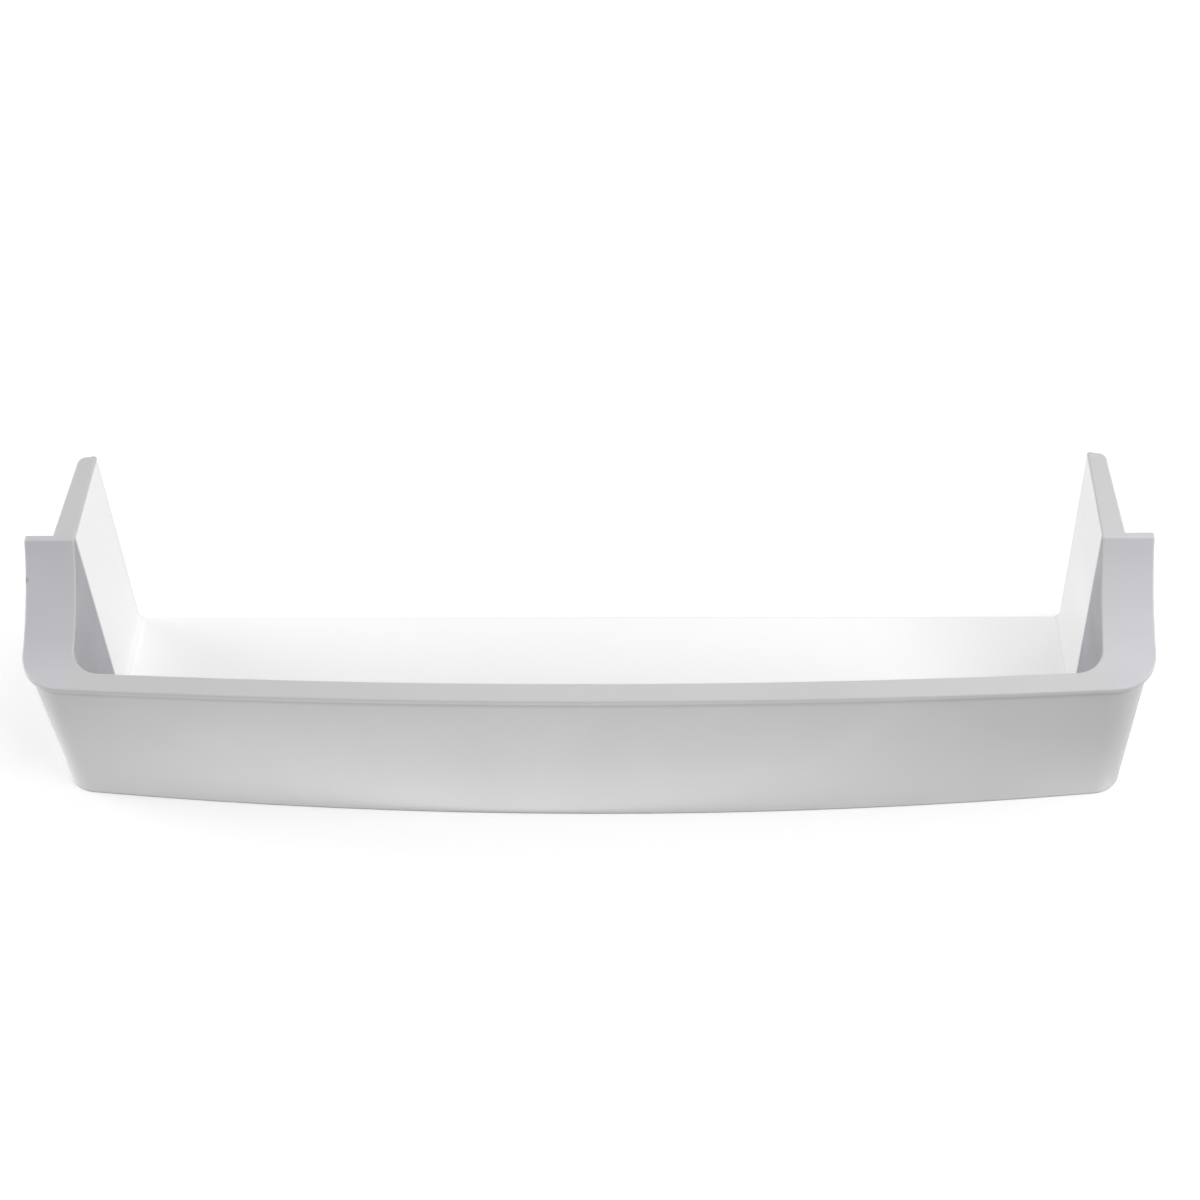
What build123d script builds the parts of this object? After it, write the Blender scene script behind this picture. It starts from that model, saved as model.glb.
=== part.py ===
from build123d import *
import math
import os

# A bottle shelf for a fridge door, moulded in one piece and open at the back.
# X runs across the door, Y from the room towards the door and Z up.
# The origin is the middle of the footprint, on the plane that the shelf stands on.

# Overall sizes, in millimetres
overall_width = 475.0
overall_depth = 114.0
overall_height = 108.0
wall = 2.4
floor_thickness = 2.6

# The front, bowed more along its foot than along the rim on its top
front_bow = 7.8
foot_bow = 13.7
rim_height = 77.0
rim_depth = 9.5
rim_thickness = 2.8
rim_overhang = 1.0
rim_corner_radius = 20.0
rim_edge_radius = 0.8

# The shoulders that sweep up from the rim to the ears
shoulder_width = 21.4
shoulder_depth = 66.0
shoulder_start = 22.0
shoulder_land = 3.0
shoulder_sag = 4.5
shoulder_blend = 40.0

# The ears behind the shoulders, each with a flange that hooks over a lug of the door
ear_toe = 1.5
ear_flange = 7.2
ear_taper = 2.0
ear_corner_radius = 4.0

# The bottle space
inner_corner_radius = 13.0
floor_radius = 4.0
lip_chamfer = 0.5

# Moulding details: drafts in degrees and the ribs in the hollow front
front_draft = 0.3
side_draft = 3.1
tub_draft = 1.1
rib_count = 5
rib_thickness = 1.8
rib_lift = 12.0

# Places that follow from the sizes
half_width = overall_width / 2
front_y = -overall_depth / 2
back_y = overall_depth / 2
shoulder_back_y = front_y + shoulder_depth
shoulder_front_y = front_y + shoulder_start
shoulder_crest_y = shoulder_back_y - shoulder_land
tub_half_width = half_width - shoulder_width
tub_front_y = front_y + rim_depth
margin = 20.0
loft_height = overall_height + margin

# Rounded and broken edges stay within the wall that they are on
rim_rounding = min(rim_edge_radius, 0.4 * rim_thickness)
lip_break = min(lip_chamfer, 0.4 * wall)


# How far an outline at this height is drawn in from the top by a draft in degrees
def drawn_in(draft, height):
    return math.tan(math.radians(draft)) * (overall_height - height)


# Bow of the front at one height
def bow_at(height):
    return front_bow + (foot_bow - front_bow) * (1 - height / rim_height)


# Plan outline at one height: bowed front, two round corners, and sides that toe in behind the shoulders
def plan_outline(half, front, back, corner, bow, height):
    bow_radius = (half_width**2 + bow**2) / (2 * bow)
    front_end = front + bow_radius - math.sqrt(bow_radius**2 - half**2)
    nose = ThreePointArc((-half, front_end), (0, front), (half, front_end))
    side = [(half, front_end), (half, min(back, shoulder_back_y))]
    if back > shoulder_back_y:
        toe = ear_toe * (back - shoulder_back_y) / (back_y - shoulder_back_y)
        side.append((half - toe, back))
    other_side = [(-x, y) for x, y in reversed(side)]
    face = make_face(nose + Polyline(*side, *other_side))
    rounded = fillet(face.vertices().group_by(Axis.Y)[0], corner)
    return Pos(0, 0, height) * rounded


# Outer skin at one height, drawn in from the rim's edge by the overhang and the drafts
def skirt_outline(height, inset):
    side_draw = rim_overhang + drawn_in(side_draft, height) + inset
    front_draw = rim_overhang + drawn_in(front_draft, height) + inset
    return plan_outline(
        half_width - side_draw,
        front_y + front_draw,
        shoulder_back_y - inset,
        rim_corner_radius - side_draw,
        bow_at(height),
        height,
    )


# Inner skin at one height, which narrows towards the floor; grow adds the wall outside it
def tub_outline(height, grow, back):
    draw = drawn_in(tub_draft, height) - grow
    return plan_outline(
        tub_half_width - draw,
        tub_front_y + draw,
        back,
        inner_corner_radius - draw,
        bow_at(height),
        height,
    )


# Everything below the rim and shoulder line, lowered square to that line by a drop
def below_band(drop):
    rise = overall_height - rim_height
    run = shoulder_crest_y - shoulder_front_y
    chord = math.hypot(run, rise)
    radius = chord**2 / (8 * shoulder_sag) + shoulder_sag / 2
    reach = (radius - shoulder_sag) / chord
    centre_y = (shoulder_front_y + shoulder_crest_y) / 2 - rise * reach
    centre_z = (rim_height + overall_height) / 2 + run * reach
    low_z = rim_height - drop
    high_z = overall_height - drop
    low_y = centre_y + math.sqrt((radius + drop) ** 2 - (centre_z - low_z) ** 2)
    high_y = centre_y + math.sqrt((radius + drop) ** 2 - (centre_z - high_z) ** 2)
    middle_y = centre_y + (radius + drop) * rise / chord
    middle_z = centre_z - (radius + drop) * run / chord
    sweep = ThreePointArc((low_y, low_z), (middle_y, middle_z), (high_y, high_z))
    outline = sweep + Polyline(
        (high_y, high_z),
        (back_y + margin, high_z),
        (back_y + margin, -margin),
        (front_y - margin, -margin),
        (front_y - margin, low_z),
        (low_y, low_z),
    )
    profile = make_face(outline)
    foot_of_sweep = profile.vertices().sort_by_distance((low_y, low_z))[0]
    profile = fillet(foot_of_sweep, shoulder_blend + drop)
    crest = profile.vertices().sort_by_distance((high_y, high_z))[0]
    profile = fillet(crest, rim_rounding)
    return extrude(Plane.YZ * profile, half_width + margin, both=True)


# Rim and shoulders: one band of even thickness that overhangs the outer skin
def band():
    plan = plan_outline(half_width, front_y, shoulder_back_y, rim_corner_radius, front_bow, 0)
    layer = below_band(0) - below_band(rim_thickness)
    strip = extrude(plan, loft_height) & layer
    across = strip.edges().filter_by(Axis.X)
    upright = strip.edges().filter_by(Axis.Z)
    behind = strip.edges().filter_by_position(Axis.Y, shoulder_back_y, shoulder_back_y)
    return fillet(strip.edges() - across - upright - behind, rim_rounding)


# Outer form of the front and the shoulders
def skirt_form():
    form = loft([skirt_outline(0, 0), skirt_outline(loft_height, 0)], ruled=True)
    return form & below_band(0)


# Space between the two skins, open underneath
def hollow():
    form = loft([skirt_outline(0, wall), skirt_outline(loft_height, wall)], ruled=True)
    return form & below_band(rim_thickness)


# Inner skin, floor and ears before the bottle space is taken out
def tub():
    low = tub_outline(0, wall, back_y)
    high = tub_outline(loft_height, wall, back_y)
    return loft([low, high], ruled=True) & below_band(0)


# The space for the bottles, open above and behind
def bottle_space():
    low = tub_outline(floor_thickness, 0, back_y + margin)
    high = tub_outline(loft_height, 0, back_y + margin)
    space = loft([low, high], ruled=True)
    return fillet(space.edges().filter_by_position(Axis.Z, floor_thickness, floor_thickness), floor_radius)


# Flange along the top and down the back of the right ear, around a pocket open below
def ear_hook():
    width = 2 * wall + ear_flange
    length = back_y - shoulder_back_y
    back_width = width - ear_taper - ear_toe
    plan = make_face(Polyline((0, 0), (width, 0), (back_width, length), (0, length), close=True))
    outer_back_corner = plan.vertices().sort_by_distance((back_width, length))[0]
    block = extrude(fillet(outer_back_corner, ear_corner_radius), overall_height)
    top_edges = block.faces().sort_by(Axis.Z)[-1].edges()
    seam_edges = top_edges.filter_by_position(Axis.X, 0, 0) + top_edges.filter_by_position(Axis.Y, 0, 0)
    block = chamfer(top_edges - seam_edges, lip_break)
    pocket = Box(width, length - wall, overall_height - wall, align=(Align.MIN, Align.MIN, Align.MIN))
    return Pos(tub_half_width - wall, shoulder_back_y, 0) * (block - pocket)


# Cross ribs that tie the two skins together inside the hollow front
def ribs():
    pitch = 2 * tub_half_width / (rib_count + 1)
    size = (rib_thickness, rim_depth + foot_bow, rim_height - rib_lift)
    rib = Box(*size, align=(Align.CENTER, Align.MIN, Align.MIN))
    return [Pos(0, front_y, rib_lift) * place * rib for place in GridLocations(pitch, 0, rib_count, 1)]


# All of it in one solid, with the inner edge of the band and the ears broken
def shelf():
    form = skirt_form()
    hook = ear_hook()
    body = band() + (form - hollow()) + tub() + hook + mirror(hook, Plane.YZ)
    for rib in ribs():
        body += rib & form
    space = bottle_space()
    shell = body - space
    cut_edges = new_edges(body, space, combined=shell)
    lip = cut_edges.filter_by_position(Axis.Z, rim_height - rim_thickness, overall_height)
    return chamfer(lip, lip_break)


os.makedirs("parts", exist_ok=True)
export_step(shelf(), "parts/bottle_shelf.step")
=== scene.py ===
import math
import bpy
from mathutils import Matrix, Vector


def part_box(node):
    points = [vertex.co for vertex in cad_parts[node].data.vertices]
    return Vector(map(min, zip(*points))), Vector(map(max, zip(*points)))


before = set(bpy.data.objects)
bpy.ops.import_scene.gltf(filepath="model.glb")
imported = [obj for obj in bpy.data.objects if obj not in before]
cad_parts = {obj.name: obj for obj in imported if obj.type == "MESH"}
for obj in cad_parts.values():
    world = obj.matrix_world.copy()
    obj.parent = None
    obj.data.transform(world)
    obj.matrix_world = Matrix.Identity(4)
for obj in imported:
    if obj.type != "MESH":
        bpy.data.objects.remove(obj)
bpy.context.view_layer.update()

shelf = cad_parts["bottle_shelf"]
shelfLow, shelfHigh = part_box("bottle_shelf")
scene = bpy.context.scene
print("frame loaded, shelf box", [round(v, 4) for v in shelfHigh - shelfLow])

# places on the shelf that the finish follows, in metres
shelfPlaces = {
    "earFront": shelfLow.y + 0.066,     # the double skin ends here and the ear begins
    "earTop": shelfHigh.z,
    "innerHalf": shelfHigh.x - 0.0214,  # inner face of each shoulder, at its top
    "floorTop": shelfLow.z + 0.0026,
    "rimTop": shelfLow.z + 0.077,
    "rimUnder": shelfLow.z + 0.0750,    # the painted shadow under the rim starts here
}


def newGroup(name, inputs, outputs):
    group = bpy.data.node_groups.new(name, "ShaderNodeTree")
    for label, kind, value in inputs:
        socket = group.interface.new_socket(label, in_out="INPUT", socket_type=kind)
        socket.default_value = value
    for label, kind in outputs:
        group.interface.new_socket(label, in_out="OUTPUT", socket_type=kind)
    start = group.nodes.new("NodeGroupInput")
    end = group.nodes.new("NodeGroupOutput")
    return group, start, end


def feed(tree, given, socket):
    if isinstance(given, bpy.types.NodeSocket):
        tree.links.new(given, socket)
    else:
        socket.default_value = given


def addMath(tree, operation, first, second=None, third=None):
    node = tree.nodes.new("ShaderNodeMath")
    node.operation = operation
    for slot, given in enumerate((first, second, third)):
        if given is not None:
            feed(tree, given, node.inputs[slot])
    return node.outputs[0]


def addProduct(tree, first, *others):
    result = first
    for factor in others:
        result = addMath(tree, "MULTIPLY", result, factor)
    return result


def addSplit(tree, vector):
    node = tree.nodes.new("ShaderNodeSeparateXYZ")
    tree.links.new(vector, node.inputs[0])
    return node.outputs["X"], node.outputs["Y"], node.outputs["Z"]


def addVector(tree, operation, first, second, output):
    node = tree.nodes.new("ShaderNodeVectorMath")
    node.operation = operation
    feed(tree, first, node.inputs[0])
    feed(tree, second, node.inputs[1])
    return node.outputs[output]


def addNoise(tree, vector, scale, detail, roughness):
    node = tree.nodes.new("ShaderNodeTexNoise")
    node.inputs["Detail"].default_value = detail
    node.inputs["Roughness"].default_value = roughness
    tree.links.new(vector, node.inputs["Vector"])
    feed(tree, scale, node.inputs["Scale"])
    return node.outputs["Fac"]


def addRamp(tree, value, low, high, toLow=0.0, toHigh=1.0, kind="SMOOTHSTEP"):
    node = tree.nodes.new("ShaderNodeMapRange")
    node.interpolation_type = kind
    limits = {"From Min": low, "From Max": high, "To Min": toLow, "To Max": toHigh}
    for label, given in limits.items():
        feed(tree, given, node.inputs[label])
    tree.links.new(value, node.inputs["Value"])
    return node.outputs["Result"]


# a soft step at a level, rising over the reach given on each side of it
def addStep(tree, value, level, reach, rising=True):
    low = addMath(tree, "SUBTRACT", level, reach)
    high = addMath(tree, "ADD", level, reach)
    ends = (0.0, 1.0) if rising else (1.0, 0.0)
    return addRamp(tree, value, low, high, *ends)


def addMix(tree, factor, first, second):
    node = tree.nodes.new("ShaderNodeMix")
    node.data_type = "RGBA"
    sockets = {s.name: s for s in node.inputs if s.enabled}
    feed(tree, factor, sockets["Factor"])
    feed(tree, first, sockets["A"])
    feed(tree, second, sockets["B"])
    return [s for s in node.outputs if s.enabled][0]


# fine moulded grain, with the faint waviness of a large thin wall
grainShape = {
    "fineDetail": 3.0,
    "fineRoughness": 0.6,
    "fineHeight": 0.35,
    "fineMottle": 0.4,
    "waveDetail": 2.0,
    "waveRoughness": 0.45,
    "waveHeight": 0.8,
    "waveMottle": 0.6,
}


def buildGrainGroup(shape):
    group, start, end = newGroup(
        "mouldedGrain",
        [("Vector", "NodeSocketVector", (0, 0, 0)), ("Grain Scale", "NodeSocketFloat", 1500.0),
         ("Wave Scale", "NodeSocketFloat", 60.0)],
        [("Height", "NodeSocketFloat"), ("Mottle", "NodeSocketFloat")],
    )
    point = start.outputs["Vector"]
    fine = addNoise(group, point, start.outputs["Grain Scale"], shape["fineDetail"], shape["fineRoughness"])
    wave = addNoise(group, point, start.outputs["Wave Scale"], shape["waveDetail"], shape["waveRoughness"])
    fineHeight = addMath(group, "MULTIPLY", fine, shape["fineHeight"])
    height = addMath(group, "MULTIPLY_ADD", wave, shape["waveHeight"], fineHeight)
    waveMottle = addMath(group, "MULTIPLY", wave, shape["waveMottle"])
    mottle = addMath(group, "MULTIPLY_ADD", fine, shape["fineMottle"], waveMottle)
    group.links.new(height, end.inputs["Height"])
    group.links.new(mottle, end.inputs["Mottle"])
    return group


# zones of the finish: a painted glow on the single skins, painted shade on the inner faces of the
# shoulders, the cooler tops of the shoulders, and a painted shadow under the rim
# drops, rises, gaps and reaches are in metres; turns are parts of a face's normal
zoneEdges = {
    "lipDrop": 0.0014,        # the ear's painted glow ends this far below its top
    "lipReach": 0.0008,
    "earTurn": -0.5,          # only the ear's inner side is white
    "earTurnReach": 0.3,
    "floorRise": 0.002,       # the floor's painted glow climbs this far
    "floorReach": 0.002,
    "floorGap": 0.0015,
    "floorTurn": 0.25,
    "floorTurnReach": 0.25,
    "innerTurn": -0.84,
    "innerTurnReach": 0.08,
    "innerGap": 0.0002,
    "shoulderReach": 0.006,
    "shoulderDrop": 0.003,    # the shoulders' tone starts this far below the rim's top
    "shoulderRise": 0.0015,
    "creaseReach": 0.0002,
    "creaseDrop": 0.003,      # height of the painted shadow under the rim
    "creaseFade": 0.0014,
    "creaseTurn": -0.5,
    "creaseTurnReach": 0.3,
}


def buildZoneGroup(edges):
    group, start, end = newGroup(
        "shelfZones",
        [("Vector", "NodeSocketVector", (0, 0, 0)), ("Ear Front", "NodeSocketFloat", 0.0),
         ("Ear Top", "NodeSocketFloat", 0.1), ("Inner Half", "NodeSocketFloat", 0.2),
         ("Floor Top", "NodeSocketFloat", 0.0), ("Rim Top", "NodeSocketFloat", 0.08),
         ("Rim Under", "NodeSocketFloat", 0.075), ("Softness", "NodeSocketFloat", 0.0012)],
        [("Painted Glow", "NodeSocketFloat"), ("Inner", "NodeSocketFloat"), ("Shoulder", "NodeSocketFloat"),
         ("Rim Shadow", "NodeSocketFloat")],
    )
    side, along, up = addSplit(group, start.outputs["Vector"])
    normal = group.nodes.new("ShaderNodeNewGeometry").outputs["True Normal"]
    normalSide, normalAlong, normalUp = addSplit(group, normal)
    across = addMath(group, "ABSOLUTE", side)
    outward = addMath(group, "MULTIPLY", addMath(group, "SIGN", side), normalSide)
    half = start.outputs["Inner Half"]
    behind = addStep(group, along, start.outputs["Ear Front"], start.outputs["Softness"])
    inFront = addMath(group, "SUBTRACT", 1.0, behind)

    skinTop = addMath(group, "SUBTRACT", start.outputs["Ear Top"], edges["lipDrop"])
    belowTop = addStep(group, up, skinTop, edges["lipReach"], rising=False)
    earSide = addStep(group, outward, edges["earTurn"], edges["earTurnReach"], rising=False)
    ear = addProduct(group, behind, belowTop, earSide)
    floorEdge = addMath(group, "ADD", start.outputs["Floor Top"], edges["floorRise"])
    low = addStep(group, up, floorEdge, edges["floorReach"], rising=False)
    floorHalf = addMath(group, "SUBTRACT", half, edges["floorGap"])
    inTub = addStep(group, across, floorHalf, edges["floorGap"], rising=False)
    level = addStep(group, normalUp, edges["floorTurn"], edges["floorTurnReach"])
    onFloor = addProduct(group, low, inTub, level)
    # painted glow: the single skins of the ears and the floor, drawn white as if light came through them
    group.links.new(addMath(group, "MAXIMUM", ear, onFloor), end.inputs["Painted Glow"])

    inward = addStep(group, outward, edges["innerTurn"], edges["innerTurnReach"], rising=False)
    innerEdge = addMath(group, "ADD", half, edges["innerGap"])
    inside = addStep(group, across, innerEdge, edges["innerGap"], rising=False)
    # Inner: painted shade on the inner faces of the shoulders, in front of the ears
    group.links.new(addProduct(group, inward, inFront, inside), end.inputs["Inner"])

    beside = addStep(group, across, half, edges["shoulderReach"])
    shoulderFoot = addMath(group, "SUBTRACT", start.outputs["Rim Top"], edges["shoulderDrop"])
    aboveRim = addStep(group, up, shoulderFoot, edges["shoulderRise"])
    group.links.new(addProduct(group, beside, aboveRim, inFront), end.inputs["Shoulder"])

    # painted shadow: a thin dark line on the front-facing wall just under the rim
    rimUnder = start.outputs["Rim Under"]
    underRim = addStep(group, up, rimUnder, edges["creaseReach"], rising=False)
    creaseFoot = addMath(group, "SUBTRACT", rimUnder, edges["creaseDrop"])
    nearRim = addStep(group, up, creaseFoot, edges["creaseFade"])
    facing = addStep(group, normalAlong, edges["creaseTurn"], edges["creaseTurnReach"], rising=False)
    group.links.new(addProduct(group, underRim, nearRim, facing), end.inputs["Rim Shadow"])
    return group


plasticFinish = {
    "greyTone": (0.565, 0.565, 0.567, 1),    # double skinned front and rim
    "driftTone": (0.540, 0.540, 0.544, 1),   # slow drift in the same plastic
    "lilacTone": (0.556, 0.553, 0.584, 1),   # cooler tops of the shoulders
    "paintedGlowTone": (0.950, 0.950, 0.951, 1),   # painted glow: single skins of the ears and floor drawn white as if lit through from behind
    "paintedShadeTone": (0.330, 0.327, 0.359, 1),   # painted shade on the inner sides of the shoulders, in front of the hollow
    "rimShadowTone": (0.440, 0.440, 0.443, 1),  # painted shadow under the rim's overhang
    "edgeHighlightTone": (0.640, 0.640, 0.645, 1),     # painted highlight along the rounded edges
    "edgeHighlightAmount": 0.7,
    "highlightStart": 0.995,   # likeness of the rounded and the flat normal where the painted edge highlight starts
    "highlightEnd": 0.90,
    "driftScale": 9.0,
    "driftDetail": 2.0,
    "driftRoughness": 0.5,
    "driftFrom": 0.35,
    "driftTo": 0.65,
    "grainScale": 1500.0,
    "waveScale": 55.0,
    "bumpStrength": 0.12,
    "bumpDepth": 0.0004,
    "mottleLow": 0.3,
    "mottleHigh": 0.7,
    "roughLow": 0.36,
    "roughHigh": 0.50,
    "edgeRound": 0.0006,
    "edgeSamples": 4,
    "refraction": 1.5,
    "subsurface": 0.12,
    "subsurfaceReach": 0.003,
    "subsurfaceTint": (1.0, 1.0, 0.95),
    "scuffPlace": (shelfLow.x, shelfLow.y + 0.0524, shelfLow.z + 0.0951),  # small bruise on the left edge
    "scuffReach": 0.0021,
    "scuffCore": 0.3,
    "scuffTone": (0.36, 0.36, 0.36, 1),
}


def placeGroup(tree, group, vector, values):
    node = tree.nodes.new("ShaderNodeGroup")
    node.node_tree = group
    tree.links.new(vector, node.inputs["Vector"])
    for label, value in values.items():
        node.inputs[label].default_value = value
    return node.outputs


def makePlastic(grainGroup, zoneGroup, finish, places):
    material = bpy.data.materials.new("milkWhitePlastic")
    material.use_nodes = True
    tree = material.node_tree
    shader = tree.nodes["Principled BSDF"]
    point = tree.nodes.new("ShaderNodeTexCoord").outputs["Object"]

    grain = placeGroup(tree, grainGroup, point, {
        "Grain Scale": finish["grainScale"],
        "Wave Scale": finish["waveScale"],
    })
    zone = placeGroup(tree, zoneGroup, point, {
        "Ear Front": places["earFront"],
        "Ear Top": places["earTop"],
        "Inner Half": places["innerHalf"],
        "Floor Top": places["floorTop"],
        "Rim Top": places["rimTop"],
        "Rim Under": places["rimUnder"],
    })

    rounded = tree.nodes.new("ShaderNodeBevel")
    rounded.samples = finish["edgeSamples"]
    rounded.inputs["Radius"].default_value = finish["edgeRound"]
    flat = tree.nodes.new("ShaderNodeNewGeometry").outputs["Normal"]
    likeness = addVector(tree, "DOT_PRODUCT", rounded.outputs["Normal"], flat, "Value")
    # the edge mask carries a painted highlight on the rounded edges
    edge = addRamp(tree, likeness, finish["highlightStart"], finish["highlightEnd"], 0.0, finish["edgeHighlightAmount"])

    clouds = addNoise(tree, point, finish["driftScale"], finish["driftDetail"], finish["driftRoughness"])
    drift = addRamp(tree, clouds, finish["driftFrom"], finish["driftTo"])
    tone = addMix(tree, drift, finish["greyTone"], finish["driftTone"])
    tone = addMix(tree, zone["Shoulder"], tone, finish["lilacTone"])
    # painted shade on the inner sides of the shoulders
    tone = addMix(tree, zone["Inner"], tone, finish["paintedShadeTone"])
    # painted shadow under the rim
    tone = addMix(tree, zone["Rim Shadow"], tone, finish["rimShadowTone"])
    # painted highlight on the rounded edges
    tone = addMix(tree, edge, tone, finish["edgeHighlightTone"])
    # painted glow on the single skins of the ears and floor
    tone = addMix(tree, zone["Painted Glow"], tone, finish["paintedGlowTone"])
    apart = addVector(tree, "DISTANCE", point, finish["scuffPlace"], "Value")
    scuff = addRamp(tree, apart, finish["scuffReach"], finish["scuffCore"] * finish["scuffReach"])
    tone = addMix(tree, scuff, tone, finish["scuffTone"])
    tree.links.new(tone, shader.inputs["Base Color"])

    mottle = (finish["mottleLow"], finish["mottleHigh"])
    rough = addRamp(tree, grain["Mottle"], *mottle, finish["roughLow"], finish["roughHigh"])
    tree.links.new(rough, shader.inputs["Roughness"])

    bump = tree.nodes.new("ShaderNodeBump")
    bump.inputs["Strength"].default_value = finish["bumpStrength"]
    bump.inputs["Distance"].default_value = finish["bumpDepth"]
    tree.links.new(grain["Height"], bump.inputs["Height"])
    tree.links.new(rounded.outputs["Normal"], bump.inputs["Normal"])
    tree.links.new(bump.outputs["Normal"], shader.inputs["Normal"])

    shader.inputs["IOR"].default_value = finish["refraction"]
    shader.inputs["Subsurface Weight"].default_value = finish["subsurface"]
    shader.inputs["Subsurface Radius"].default_value = finish["subsurfaceTint"]
    shader.inputs["Subsurface Scale"].default_value = finish["subsurfaceReach"]
    return material


plastic = makePlastic(buildGrainGroup(grainShape), buildZoneGroup(zoneEdges), plasticFinish, shelfPlaces)
shelf.data.materials.clear()
shelf.data.materials.append(plastic)
print("plastic finish on the shelf")


stageLook = {
    "halfSize": 4.0,
    "drop": 0.0002,      # keeps the floor clear of the shelf's foot
    "bounce": 0.50,      # what the floor gives back to the shelf
    "shadowPart": 0.72,  # how much of the floor's own light shows beside the shelf
    "lift": 0.38,        # the rest of its white there
    "fadeFrom": 0.35,    # the floor turns plain white between these distances
    "fadeTo": 0.90,
    "ambient": 0.30,
}


def seenMask(tree):
    path = tree.nodes.new("ShaderNodeLightPath")
    mirrored = addMath(tree, "MAXIMUM", path.outputs["Is Glossy Ray"], path.outputs["Is Transmission Ray"])
    return addMath(tree, "MAXIMUM", path.outputs["Is Camera Ray"], mirrored)


def makeFloor(look):
    size = look["halfSize"]
    mesh = bpy.data.meshes.new("paleFloor")
    corners = [(-size, -size, 0), (size, -size, 0), (size, size, 0), (-size, size, 0)]
    mesh.from_pydata(corners, [], [(0, 1, 2, 3)])
    floor = bpy.data.objects.new("paleFloor", mesh)
    scene.collection.objects.link(floor)
    floor.location.z = shelfLow.z - look["drop"]

    material = bpy.data.materials.new("paleFloor")
    material.use_nodes = True
    tree = material.node_tree
    tree.nodes.clear()
    point = tree.nodes.new("ShaderNodeTexCoord").outputs["Object"]
    away = addVector(tree, "LENGTH", point, (0, 0, 0), "Value")
    near = addRamp(tree, away, look["fadeFrom"], look["fadeTo"], 1.0, 0.0)
    bounce = tree.nodes.new("ShaderNodeBsdfDiffuse")
    bounce.inputs["Color"].default_value = (look["bounce"],) * 3 + (1,)
    shade = tree.nodes.new("ShaderNodeBsdfDiffuse")
    tree.links.new(addMath(tree, "MULTIPLY", near, look["shadowPart"]), shade.inputs["Color"])
    glow = tree.nodes.new("ShaderNodeEmission")
    tree.links.new(addMath(tree, "MULTIPLY_ADD", near, look["lift"] - 1.0, 1.0), glow.inputs["Strength"])
    both = tree.nodes.new("ShaderNodeAddShader")
    tree.links.new(shade.outputs[0], both.inputs[0])
    tree.links.new(glow.outputs[0], both.inputs[1])
    mix = tree.nodes.new("ShaderNodeMixShader")
    tree.links.new(seenMask(tree), mix.inputs[0])
    tree.links.new(bounce.outputs[0], mix.inputs[1])
    tree.links.new(both.outputs[0], mix.inputs[2])
    output = tree.nodes.new("ShaderNodeOutputMaterial")
    tree.links.new(mix.outputs[0], output.inputs["Surface"])
    mesh.materials.append(material)


def makeWorld(look):
    world = bpy.data.worlds.new("paleStudio")
    scene.world = world
    world.use_nodes = True
    tree = world.node_tree
    back = tree.nodes["Background"]
    back.inputs["Color"].default_value = (1, 1, 1, 1)
    level = addRamp(tree, seenMask(tree), 0.0, 1.0, look["ambient"], 1.0, kind="LINEAR")
    tree.links.new(level, back.inputs["Strength"])


makeFloor(stageLook)
makeWorld(stageLook)
print("floor and backdrop ready")


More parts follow.
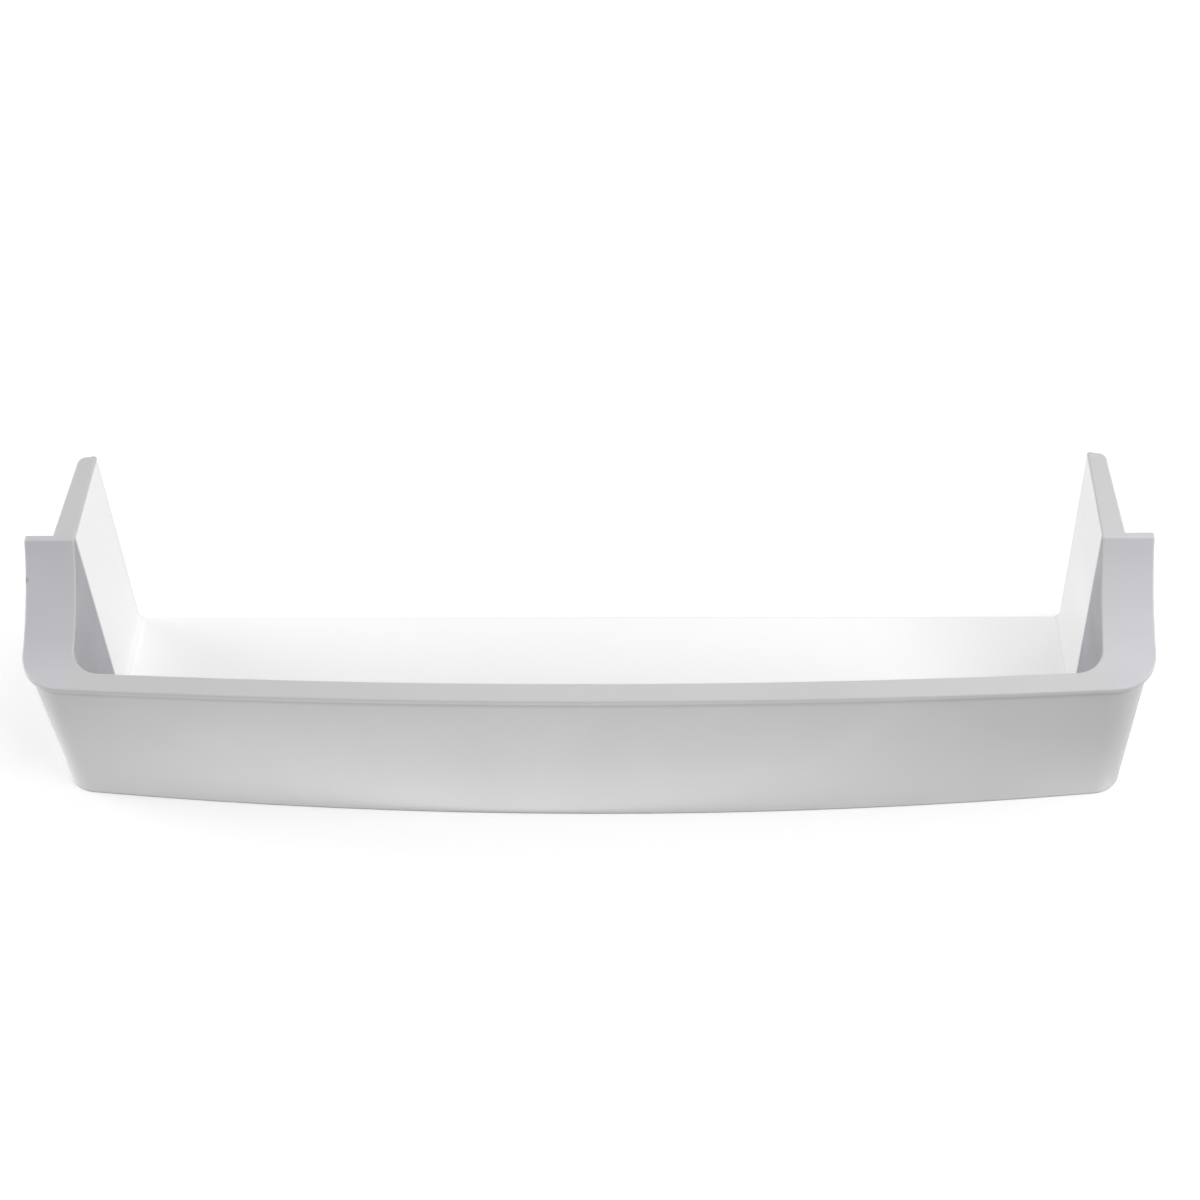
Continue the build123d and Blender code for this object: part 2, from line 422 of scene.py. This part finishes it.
# area lamps: place, what they point at, size and power
# the glow lamps lie on the table in front and stand for the light that comes up from it;
# the fill lamps hang inside the shelf and even out its white floor
lampRig = {
    "topSoft": {
        "place": (0.45, 0.10, 1.20), "aim": (0.0, 0.0, 0.05),
        "size": (1.2, 0.9), "watts": 6.6,
    },
    "leftSoft": {
        "place": (-1.10, 0.32, 0.36), "aim": (0.0, 0.02, 0.05),
        "size": (0.5, 0.3), "watts": 3.8,
    },
    "backSoft": {
        "place": (0.10, 1.00, 0.70), "aim": (0.0, 0.0, 0.05),
        "size": (1.2, 0.6), "watts": 2.0,
    },
    "frontLeft": {
        "place": (-0.80, -0.80, 0.80), "aim": (0.05, 0.0, 0.06),
        "size": (0.7, 0.7), "watts": 1.9,
    },
    "frontRight": {
        "place": (0.90, -0.70, 0.90), "aim": (-0.05, 0.0, 0.06),
        "size": (0.7, 0.7), "watts": 6.1,
    },
    "rightLow": {
        "place": (0.90, 0.05, 0.12), "aim": (0.0, 0.0, 0.05),
        "size": (0.4, 0.2), "watts": 1.4,
    },
    "leftLow": {
        "place": (-0.90, 0.05, 0.12), "aim": (0.0, 0.0, 0.05),
        "size": (0.4, 0.2), "watts": 1.7,
    },
    "wideGlow": {
        "place": (-0.040, -0.060, 0.0006), "aim": (-0.040, -0.060, 1.0),
        "size": (0.56, 0.14), "watts": 0.105, "shape": "ELLIPSE",
    },
    "middleGlow": {
        "place": (-0.040, -0.112, 0.0014), "aim": (-0.040, -0.112, 1.0),
        "size": (0.44, 0.112), "watts": 0.068, "shape": "ELLIPSE",
    },
    "leftFill": {
        "place": (-0.130, 0.000, 0.070), "aim": (-0.130, 0.000, 0.0),
        "size": (0.12, 0.07), "watts": 0.0034, "shape": "ELLIPSE",
    },
    "rightFill": {
        "place": (0.172, 0.010, 0.070), "aim": (0.172, 0.010, 0.0),
        "size": (0.06, 0.075), "watts": 0.0033, "shape": "ELLIPSE",
    },
}


def makeLamp(name, look):
    data = bpy.data.lights.new(name, "AREA")
    data.shape = look.get("shape", "RECTANGLE")
    data.size, data.size_y = look["size"]
    data.energy = look["watts"]
    lamp = bpy.data.objects.new(name, data)
    scene.collection.objects.link(lamp)
    place = Vector(look["place"])
    lamp.location = place
    lamp.rotation_euler = (Vector(look["aim"]) - place).to_track_quat("-Z", "Y").to_euler()
    lamp.visible_camera = False


for lampName, lampLook in lampRig.items():
    makeLamp(lampName, lampLook)
print("lamps ready")


# the photograph's viewpoint, worked out from the shelf's own edges
cameraView = {
    "place": (0.0535, -0.7457, 0.8925),
    "pitch": 47.507,   # degrees below the horizon
    "yaw": -3.656,     # degrees, turned towards the left
    "roll": 2.80,
    "focalPixels": 2593.4,
    "framePixels": 1200,
    "sensor": 36.0,
}


def makeCamera(look):
    pitch, yaw, roll = (math.radians(look[k]) for k in ("pitch", "yaw", "roll"))
    forward = Vector((math.sin(yaw) * math.cos(pitch), math.cos(yaw) * math.cos(pitch), -math.sin(pitch)))
    level = Vector((math.cos(yaw), -math.sin(yaw), 0))
    upright = level.cross(forward)
    right = level * math.cos(roll) - upright * math.sin(roll)
    up = upright * math.cos(roll) + level * math.sin(roll)
    data = bpy.data.cameras.new("photoView")
    data.sensor_fit = "AUTO"
    data.sensor_width = look["sensor"]
    data.lens = data.sensor_width * look["focalPixels"] / look["framePixels"]
    camera = bpy.data.objects.new("photoView", data)
    scene.collection.objects.link(camera)
    turn = Matrix((right, up, -forward)).transposed()
    camera.matrix_world = Matrix.Translation(Vector(look["place"])) @ turn.to_4x4()
    scene.camera = camera


makeCamera(cameraView)
scene.view_settings.view_transform = "Standard"
print("camera ready")
